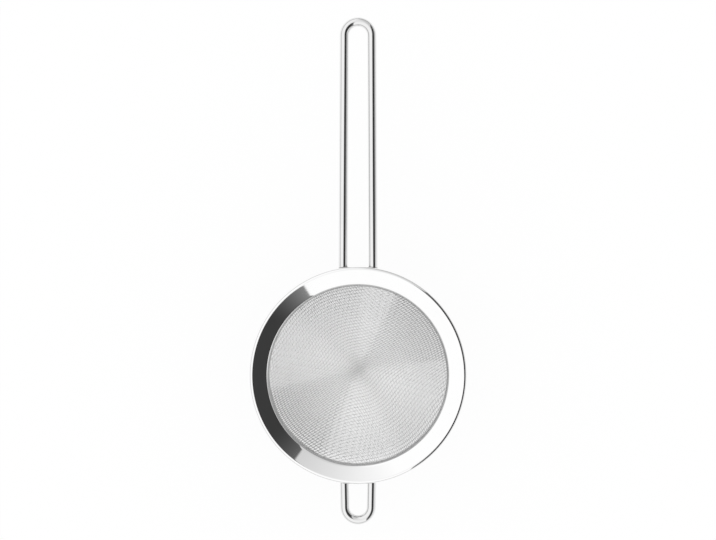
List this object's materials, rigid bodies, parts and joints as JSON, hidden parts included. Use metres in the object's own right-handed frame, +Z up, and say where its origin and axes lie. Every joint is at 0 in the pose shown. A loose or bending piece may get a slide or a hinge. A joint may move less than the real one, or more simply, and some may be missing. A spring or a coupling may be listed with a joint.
{
  "type": "mesh strainer",
  "caption": "Conical woven wire strainer in a polished round rim, with a long wire loop handle and a short wire loop opposite that rests on a pot.",
  "frame": {"origin": "on the axis of the bowl, in the plane of the undersides of the two wire loops, where the strainer lies across the rim of a pot", "axes": "+Z up along the axis of the bowl, out of its open side; +Y along the handle; +X across it"},
  "size_m": [0.12, 0.281, 0.0543],
  "materials": {
    "polished_rim": "mirror polished stainless steel sheet",
    "plain_sheet": "satin stainless steel sheet",
    "wire_cloth": "bright drawn stainless steel wire, plain weave",
    "polished_wire": "mirror polished stainless steel wire",
    "weld_metal": "cleaned weld, slightly dull"
  },
  "bodies": {
    "root": {"rim_flange": "polished_rim", "clamp_ring": "plain_sheet", "mesh_basket": "wire_cloth", "handle_loop": "polished_wire", "rest_loop": "polished_wire", "handle_rim_weld_left": "weld_metal", "handle_rim_weld_right": "weld_metal", "handle_end_weld_left": "weld_metal", "handle_end_weld_right": "weld_metal", "rest_rim_weld_left": "weld_metal", "rest_rim_weld_right": "weld_metal", "rest_end_weld_left": "weld_metal", "rest_end_weld_right": "weld_metal"}
  },
  "joints": []
}
